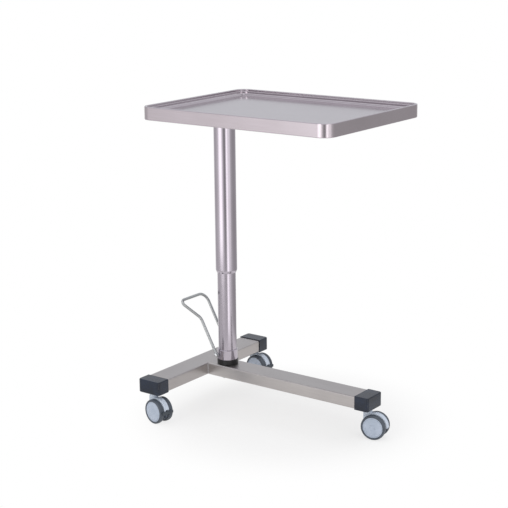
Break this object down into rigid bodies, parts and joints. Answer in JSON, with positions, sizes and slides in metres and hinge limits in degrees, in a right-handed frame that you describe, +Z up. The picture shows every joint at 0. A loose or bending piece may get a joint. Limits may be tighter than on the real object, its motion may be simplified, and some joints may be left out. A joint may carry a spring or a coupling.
{
  "type": "instrument table",
  "caption": "Mobile instrument table: rectangular skirted tray on a pumped telescopic column, T-shaped tube base on twin-wheel castors, bent-rod foot pedal.",
  "frame": {"origin": "on the floor, in the middle of the footprint of the base and its castors", "axes": "+Z up; +X along the long base tube to its single castor; +Y towards the cross tube's back castor"},
  "size_m": [0.747, 0.6068, 1.0095],
  "materials": {
    "base_tube": "brushed stainless",
    "column_tube": "polished stainless",
    "tray_sheet": "satin stainless",
    "cap_plastic": "moulded",
    "black_plastic": "moulded",
    "castor_plastic": "moulded",
    "brake_plastic": "moulded",
    "tyre": "moulded",
    "pedal_rod": "satin stainless",
    "bush_plastic": "moulded",
    "chrome_rod": "ground and plated",
    "machined_steel": "turned",
    "carrier_steel": "mill finish",
    "fastener_steel": "zinc plated"
  },
  "bodies": {
    "base": {"long_base_tube": "base_tube", "cross_base_tube": "base_tube", "right_end_cap": "cap_plastic", "left_end_cap": "cap_plastic", "back_end_cap": "cap_plastic", "stem_nuts": "carrier_steel", "right_castor_stem": "fastener_steel", "left_castor_stem": "fastener_steel", "back_castor_stem": "fastener_steel", "column_foot": "machined_steel", "foot_washers": "fastener_steel", "foot_bolts": "fastener_steel", "cover_ring": "black_plastic", "pedal_collar": "column_tube", "lower_column_tube": "column_tube", "pump_stand": "carrier_steel", "pump_block": "machined_steel", "plunger_spring": "fastener_steel", "ram_cylinder": "carrier_steel", "ram_gland": "machined_steel", "steady_ring": "machined_steel", "upper_guide_bush": "bush_plastic"},
    "ram": {"piston_rod": "chrome_rod", "ram_piston": "machined_steel", "thrust_bearing": "fastener_steel"},
    "top": {"upper_column_tube": "column_tube", "lower_guide_bush": "bush_plastic", "column_head": "machined_steel", "mounting_plate": "carrier_steel", "front_channel": "carrier_steel", "back_channel": "carrier_steel", "tray": "tray_sheet", "tray_screws": "fastener_steel", "tray_nuts": "fastener_steel"},
    "pedal": {"foot_pedal": "pedal_rod", "pedal_shaft": "fastener_steel", "pump_cam": "fastener_steel"},
    "plunger": {"pump_plunger": "fastener_steel"},
    "right_castor": {"right_castor_hood": "castor_plastic", "right_castor_axle": "fastener_steel"},
    "right_near_wheel": {"right_castor_wheel_near": "castor_plastic", "right_castor_tyre_near": "tyre"},
    "right_far_wheel": {"right_castor_wheel_far": "castor_plastic", "right_castor_tyre_far": "tyre"},
    "left_castor": {"left_castor_hood": "castor_plastic", "left_castor_axle": "fastener_steel", "left_castor_brake_pin": "fastener_steel"},
    "left_near_wheel": {"left_castor_wheel_near": "castor_plastic", "left_castor_tyre_near": "tyre"},
    "left_far_wheel": {"left_castor_wheel_far": "castor_plastic", "left_castor_tyre_far": "tyre"},
    "left_brake": {"left_castor_brake_lever": "brake_plastic"},
    "back_castor": {"back_castor_hood": "castor_plastic", "back_castor_axle": "fastener_steel", "back_castor_brake_pin": "fastener_steel"},
    "back_near_wheel": {"back_castor_wheel_near": "castor_plastic", "back_castor_tyre_near": "tyre"},
    "back_far_wheel": {"back_castor_wheel_far": "castor_plastic", "back_castor_tyre_far": "tyre"},
    "back_brake": {"back_castor_brake_lever": "brake_plastic"}
  },
  "joints": [
    {"name": "lift", "type": "slide", "parent": "base", "child": "ram", "axis": [0, 0, 1], "range_m": [-0.25, 0.14]},
    {"name": "tray_swivel", "type": "hinge", "parent": "ram", "child": "top", "pos_m": [-0.23813, 0, 0.92], "axis": [0, 0, 1], "continuous": true},
    {"name": "pedal_press", "type": "hinge", "parent": "base", "child": "pedal", "pos_m": [-0.25812, 0, 0.1693], "axis": [0, -1, 0], "range_deg": [-6, 40], "stiffness_Nm_per_rad": 3, "springref_deg": -3.15},
    {"name": "plunger_stroke", "type": "slide", "parent": "base", "child": "plunger", "axis": [0, 0, 1], "range_m": [-0.0022, 0.0125], "deforming": ["plunger_spring"]},
    {"name": "right_castor_swivel", "type": "hinge", "parent": "base", "child": "right_castor", "pos_m": [0.30657, 0, 0.085], "axis": [0, 0, 1], "continuous": true},
    {"name": "right_near_wheel_roll", "type": "hinge", "parent": "right_castor", "child": "right_near_wheel", "pos_m": [0.33386, -0.01303, 0.04], "axis": [-0.1908, 0.9816, 0], "continuous": true},
    {"name": "right_far_wheel_roll", "type": "hinge", "parent": "right_castor", "child": "right_far_wheel", "pos_m": [0.32699, 0.02231, 0.04], "axis": [-0.1908, 0.9816, 0], "continuous": true},
    {"name": "left_castor_swivel", "type": "hinge", "parent": "base", "child": "left_castor", "pos_m": [-0.33048, -0.2714, 0.085], "axis": [0, 0, 1], "continuous": true},
    {"name": "left_near_wheel_roll", "type": "hinge", "parent": "left_castor", "child": "left_near_wheel", "pos_m": [-0.30967, -0.29335, 0.04], "axis": [0.1736, 0.9848, 0], "continuous": true},
    {"name": "left_far_wheel_roll", "type": "hinge", "parent": "left_castor", "child": "left_far_wheel", "pos_m": [-0.30342, -0.25789, 0.04], "axis": [0.1736, 0.9848, 0], "continuous": true},
    {"name": "left_brake_press", "type": "hinge", "parent": "left_castor", "child": "left_brake", "pos_m": [-0.27454, -0.28126, 0.043], "axis": [0.1736, 0.9848, 0], "range_deg": [0, 12]},
    {"name": "back_castor_swivel", "type": "hinge", "parent": "base", "child": "back_castor", "pos_m": [-0.33048, 0.2714, 0.085], "axis": [0, 0, 1], "continuous": true},
    {"name": "back_near_wheel_roll", "type": "hinge", "parent": "back_castor", "child": "back_near_wheel", "pos_m": [-0.30756, 0.25167, 0.04], "axis": [0.0732, 0.9973, 0], "continuous": true},
    {"name": "back_far_wheel_roll", "type": "hinge", "parent": "back_castor", "child": "back_far_wheel", "pos_m": [-0.30492, 0.28757, 0.04], "axis": [0.0732, 0.9973, 0], "continuous": true},
    {"name": "back_brake_press", "type": "hinge", "parent": "back_castor", "child": "back_brake", "pos_m": [-0.27383, 0.26724, 0.043], "axis": [0.0732, 0.9973, 0], "range_deg": [0, 12]}
  ],
  "couplings": [
    {"joint": "plunger_stroke", "follows": "pedal_press", "m_per_rad": 0.017}
  ]
}
